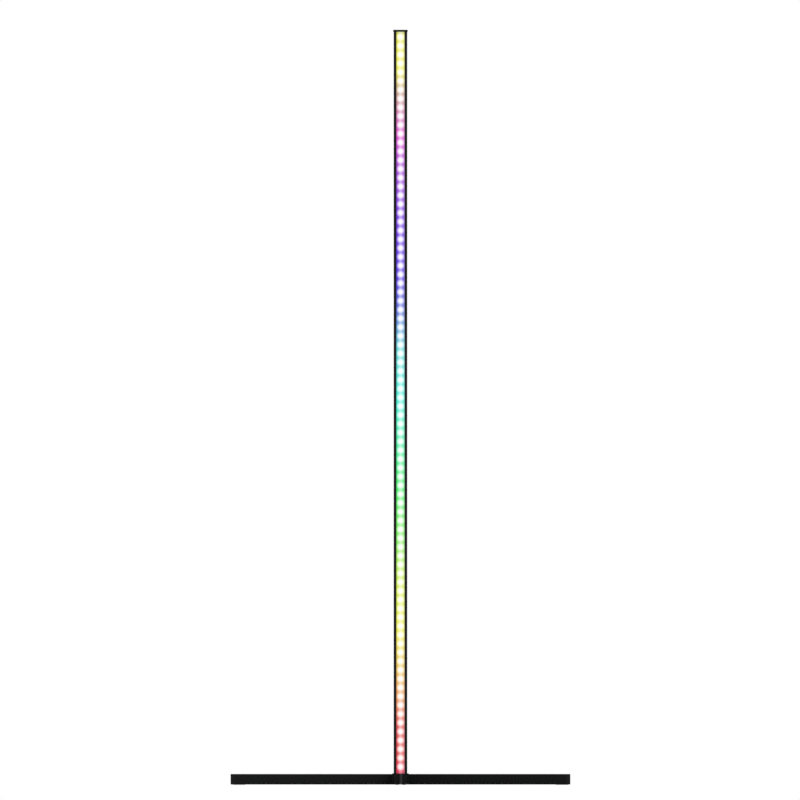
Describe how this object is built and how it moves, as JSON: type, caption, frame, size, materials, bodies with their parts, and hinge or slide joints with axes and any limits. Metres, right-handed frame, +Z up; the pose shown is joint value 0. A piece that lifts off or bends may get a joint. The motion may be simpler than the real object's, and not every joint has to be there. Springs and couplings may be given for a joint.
{
  "type": "corner floor lamp",
  "caption": "Slim V-section floor lamp with a line of coloured lights behind a milky cover, on a corner hub with two right-angled legs.",
  "frame": {"origin": "on the floor under the pole's axis, at the middle of the hub's foot pad", "axes": "+Z up along the pole, -Y towards the lit side and the leg tips, +X towards the right leg as seen from the lit side"},
  "size_m": [0.6442, 0.3267, 1.4315],
  "materials": {
    "pole_anodised": "satin black anodised extrusion",
    "bare_aluminium": "plain drawn bar",
    "black_screws": "black oxide",
    "diffuser_milk": "milky translucent, lit from behind",
    "tape_white": "white solder mask",
    "package_white": "white moulded package",
    "lens_yellow": "clear filled lens",
    "capacitor_tan": "ceramic",
    "cap_black": "fine moulded texture",
    "hub_black": "powder-coated die casting",
    "leg_black": "powder-coated steel tube",
    "foot_rubber": "soft black rubber",
    "inlet_black": "smooth moulded",
    "contact_nickel": "nickel plate",
    "board_green": "green solder mask",
    "chip_black": "moulded epoxy",
    "wire_red": "insulation",
    "wire_black": "insulation",
    "lead_white": "insulation"
  },
  "bodies": {
    "root": {"pole_section_lower": "pole_anodised", "pole_section_middle": "pole_anodised", "pole_section_upper": "pole_anodised", "pole_joiner_lower": "bare_aluminium", "pole_joiner_upper": "bare_aluminium", "joiner_screws": "black_screws", "pole_anchor": "bare_aluminium", "pole_screws": "black_screws", "light_tape": "tape_white", "light_packages": "package_white", "package_lenses": "lens_yellow", "tape_capacitors": "capacitor_tan", "diffuser": "diffuser_milk", "channel_foot_cover": "cap_black", "top_cap": "cap_black", "hub_body": "hub_black", "hub_bottom_plate": "cap_black", "hub_plate_screws": "black_screws", "leg_tube_left": "leg_black", "leg_tube_right": "leg_black", "leg_plug_left": "cap_black", "leg_plug_right": "cap_black", "leg_screws": "black_screws", "foot_pad_hub": "foot_rubber", "foot_pad_left": "foot_rubber", "foot_pad_right": "foot_rubber", "inlet_housing": "inlet_black", "inlet_pin": "contact_nickel", "inlet_terminals": "contact_nickel", "control_board": "board_green", "board_parts": "chip_black", "supply_wire_positive": "wire_red", "supply_wire_negative": "wire_black", "tape_leads": "lead_white"}
  },
  "joints": []
}
